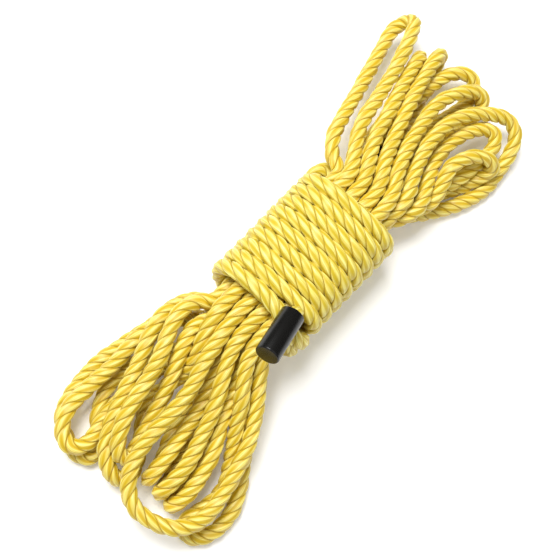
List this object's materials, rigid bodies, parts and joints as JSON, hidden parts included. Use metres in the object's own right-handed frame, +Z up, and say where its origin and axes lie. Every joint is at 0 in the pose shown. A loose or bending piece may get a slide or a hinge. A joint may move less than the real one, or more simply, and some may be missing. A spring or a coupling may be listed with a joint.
{
  "type": "twisted cord hank",
  "caption": "Hank of soft twisted three-strand cord, folded in long bights, bound round the middle by side-by-side wraps, with hard capped ends.",
  "frame": {"origin": "under the middle of the bounding box, on the plane the hank lies on", "axes": "+X along the hank towards its upper end, away from the outer end cap, +Z up from the plane it lies on"},
  "size_m": [0.2453, 0.0994, 0.0556],
  "materials": {
    "bight_cord": "satin twisted yarn, golden yellow",
    "turn_cord": "satin twisted yarn, golden yellow",
    "cap_plastic": "gloss black",
    "glue": "cream"
  },
  "bodies": {
    "waist": {"waist_run_01": "bight_cord", "waist_run_02": "bight_cord", "waist_run_03": "bight_cord", "waist_run_04": "bight_cord", "waist_run_05": "bight_cord", "waist_run_06": "bight_cord", "waist_run_07": "bight_cord", "waist_run_08": "bight_cord", "waist_run_09": "bight_cord", "waist_run_10": "bight_cord", "waist_run_11": "bight_cord", "waist_run_12": "bight_cord", "waist_run_13": "bight_cord", "waist_run_14": "bight_cord", "waist_run_15": "bight_cord", "waist_run_16": "bight_cord", "waist_run_17": "bight_cord", "waist_run_18": "bight_cord", "wrap_lead": "turn_cord", "wrap_turn_1": "turn_cord", "wrap_turn_2": "turn_cord", "wrap_turn_3": "turn_cord", "wrap_turn_4": "turn_cord", "wrap_turn_5": "turn_cord", "wrap_turn_6": "turn_cord", "wrap_turn_7": "turn_cord", "wrap_turn_8": "turn_cord", "wrap_turn_9": "turn_cord", "tucked_length": "turn_cord"},
    "upper_lobe": {"upper_bight_2": "bight_cord", "upper_bight_3": "bight_cord", "upper_bight_4": "bight_cord", "upper_bight_5": "bight_cord", "upper_bight_6": "bight_cord", "upper_bight_7": "bight_cord", "upper_bight_8": "bight_cord", "inner_end": "bight_cord", "inner_end_cap": "cap_plastic", "inner_cap_glue": "glue"},
    "upper_side": {"upper_bight_1": "bight_cord"},
    "lower_lobe": {"lower_bight_5": "bight_cord", "lower_bight_7": "bight_cord", "lower_bight_8": "bight_cord"},
    "lower_side": {"lower_bight_1": "bight_cord", "lower_bight_2": "bight_cord", "lower_bight_3": "bight_cord", "lower_bight_4": "bight_cord"},
    "lower_top": {"lower_bight_6": "bight_cord", "lower_bight_9": "bight_cord"},
    "tail_neck": {"tail_neck": "turn_cord"},
    "tail_end": {"tail_end": "turn_cord", "outer_end_cap": "cap_plastic", "outer_cap_glue": "glue"}
  },
  "joints": [
    {"name": "upper_bend", "type": "hinge", "parent": "waist", "child": "upper_lobe", "pos_m": [0.03436, 0.00337, 0.01955], "axis": [0, 1, 0], "range_deg": [-12, 12], "stiffness_Nm_per_rad": 0.08},
    {"name": "upper_side_swing", "type": "hinge", "parent": "upper_lobe", "child": "upper_side", "pos_m": [0.03436, 0.02137, 0.02555], "axis": [0, 0, 1], "range_deg": [0, 15], "stiffness_Nm_per_rad": 0.03},
    {"name": "lower_bend", "type": "hinge", "parent": "waist", "child": "lower_lobe", "pos_m": [-0.03664, 0.00337, 0.01955], "axis": [0, 1, 0], "range_deg": [-12, 12], "stiffness_Nm_per_rad": 0.08},
    {"name": "lower_side_swing", "type": "hinge", "parent": "lower_lobe", "child": "lower_side", "pos_m": [-0.03664, 0.01337, 0.01955], "axis": [0, 0, -1], "range_deg": [0, 8], "stiffness_Nm_per_rad": 0.05},
    {"name": "lower_top_lift", "type": "hinge", "parent": "lower_lobe", "child": "lower_top", "pos_m": [-0.03664, -0.00163, 0.02855], "axis": [0, 1, 0], "range_deg": [0, 12], "stiffness_Nm_per_rad": 0.05},
    {"name": "tail_turn", "type": "hinge", "parent": "waist", "child": "tail_neck", "pos_m": [-0.02394, -0.01078, 0.03655], "axis": [0, 0, 1], "range_deg": [-25, 25], "stiffness_Nm_per_rad": 0.003},
    {"name": "tail_lift", "type": "hinge", "parent": "tail_neck", "child": "tail_end", "pos_m": [-0.02134, -0.01043, 0.04005], "axis": [0, 1, 0], "range_deg": [0, 35], "stiffness_Nm_per_rad": 0.003}
  ]
}
